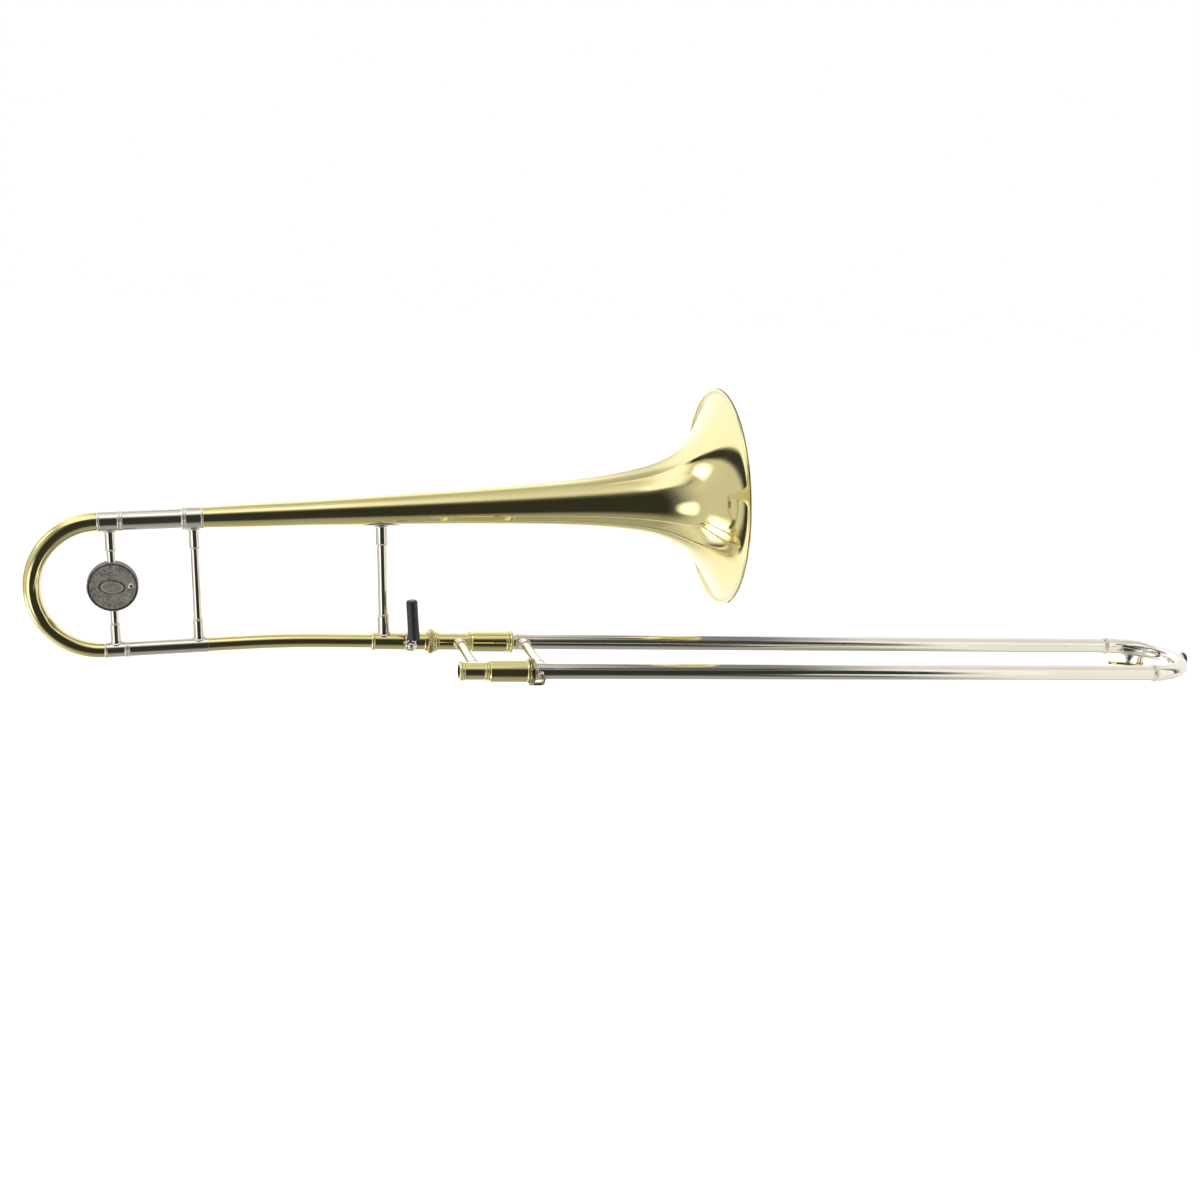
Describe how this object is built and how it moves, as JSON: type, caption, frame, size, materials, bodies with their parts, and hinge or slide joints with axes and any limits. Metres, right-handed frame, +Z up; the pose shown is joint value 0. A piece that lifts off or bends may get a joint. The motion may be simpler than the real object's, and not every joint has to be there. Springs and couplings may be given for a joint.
{
  "type": "tenor slide trombone",
  "caption": "Brass wind instrument with a long telescoping hand slide, a tuning slide bow with a counterweight, and a flared bell.",
  "frame": {"origin": "centre of the mouthpiece receiver's mouth", "axes": "+X along the hand slide to the end bow, +Y from the mouthpiece-side tube to the bell-side tube, +Z up from the hand slide to the bell"},
  "size_m": [1.1453, 0.2154, 0.2701],
  "materials": {
    "lacquered_brass": "polished and clear lacquered",
    "nickel_silver": "polished nickel silver, clear lacquered",
    "chromed_tube": "hard chrome plated, honed",
    "steel_screw": "nickel plated",
    "cast_weight": "matt dark cast metal with a polished rim",
    "black_grip": "satin moulded",
    "rubber": "matt",
    "cork": "natural cork",
    "copper_spring": "bright phosphor bronze wire"
  },
  "bodies": {
    "inner_slide": {"mouthpiece_receiver": "lacquered_brass", "leadpipe": "lacquered_brass", "inner_tube_mouthpiece_side": "chromed_tube", "inner_tube_bell_side": "chromed_tube", "stocking_mouthpiece_side": "chromed_tube", "stocking_bell_side": "chromed_tube", "cork_barrel_mouthpiece_side": "lacquered_brass", "cork_barrel_bell_side": "lacquered_brass", "barrel_corks": "cork", "slide_neck": "lacquered_brass", "inner_brace_rod": "nickel_silver", "inner_brace_feet": "nickel_silver"},
    "outer_slide": {"outer_tube_mouthpiece_side": "nickel_silver", "outer_tube_bell_side": "nickel_silver", "outer_sleeve_mouthpiece_side": "nickel_silver", "outer_sleeve_bell_side": "nickel_silver", "outer_brace_rod": "nickel_silver", "outer_brace_feet": "nickel_silver", "slide_lock_pin": "nickel_silver", "end_bow": "nickel_silver", "bow_ferrule_mouthpiece_side": "nickel_silver", "bow_ferrule_bell_side": "nickel_silver", "bumper_base": "nickel_silver", "bumper": "rubber", "water_key_nipple": "nickel_silver", "water_key_saddle": "nickel_silver", "water_key_pivot_screw": "steel_screw"},
    "water_key": {"water_key_lever": "lacquered_brass", "water_key_cork": "cork", "water_key_spring": "copper_spring"},
    "slide_lock": {"slide_lock_ring": "lacquered_brass"},
    "lock_nut": {"bell_lock_nut": "lacquered_brass"},
    "bell_section": {"bell": "lacquered_brass", "bell_rim_wire": "steel_screw", "bell_tail_ferrule": "nickel_silver", "tuning_outer_leg_upper": "nickel_silver", "tuning_outer_leg_lower": "nickel_silver", "gooseneck": "lacquered_brass", "bell_receiver": "lacquered_brass", "rear_brace_rod": "nickel_silver", "rear_brace_sockets": "nickel_silver", "front_brace_rod": "nickel_silver", "front_brace_sockets": "nickel_silver", "front_brace_flange": "nickel_silver", "hand_rest_clamp": "nickel_silver", "hand_rest_screw": "steel_screw"},
    "hand_rest": {"hand_rest_eye": "nickel_silver", "hand_rest_grip": "black_grip"},
    "tuning_slide": {"tuning_bow": "lacquered_brass", "tuning_ferrule_upper": "nickel_silver", "tuning_ferrule_lower": "nickel_silver", "tuning_inner_leg_upper": "nickel_silver", "tuning_inner_leg_lower": "nickel_silver", "weight_brace_rod": "nickel_silver", "weight_brace_sockets": "nickel_silver", "counterweight_front": "cast_weight", "counterweight_rear": "cast_weight", "counterweight_screw": "steel_screw"}
  },
  "joints": [
    {"name": "hand_slide", "type": "slide", "parent": "inner_slide", "child": "outer_slide", "axis": [1, 0, 0], "range_m": [0, 0.585]},
    {"name": "water_key_open", "type": "hinge", "parent": "outer_slide", "child": "water_key", "pos_m": [0.726, 0.09144, -0.015], "axis": [0.5, 0.866, 0], "range_deg": [0, 15], "stiffness_Nm_per_rad": 0.05, "springref_deg": -20.05, "deforming": ["water_key_spring"]},
    {"name": "slide_lock_turn", "type": "hinge", "parent": "inner_slide", "child": "slide_lock", "pos_m": [0.06645, 0, 0], "axis": [-1, 0, 0], "range_deg": [0, 30]},
    {"name": "lock_nut_turn", "type": "hinge", "parent": "inner_slide", "child": "lock_nut", "pos_m": [-0.01035, 0.098, 0], "axis": [1, 0, 0], "range_deg": [0, 720]},
    {"name": "bell_swivel", "type": "hinge", "parent": "inner_slide", "child": "bell_section", "pos_m": [-0.0145, 0.098, 0], "axis": [1, 0, 0], "range_deg": [-60, 30]},
    {"name": "tuning_slide_pull", "type": "slide", "parent": "bell_section", "child": "tuning_slide", "axis": [-0.9979, 0, -0.0655], "range_m": [0, 0.045]},
    {"name": "hand_rest_tilt", "type": "hinge", "parent": "bell_section", "child": "hand_rest", "pos_m": [-0.0318, 0.0824, 0], "axis": [0, 1, 0], "range_deg": [-20, 20]}
  ]
}
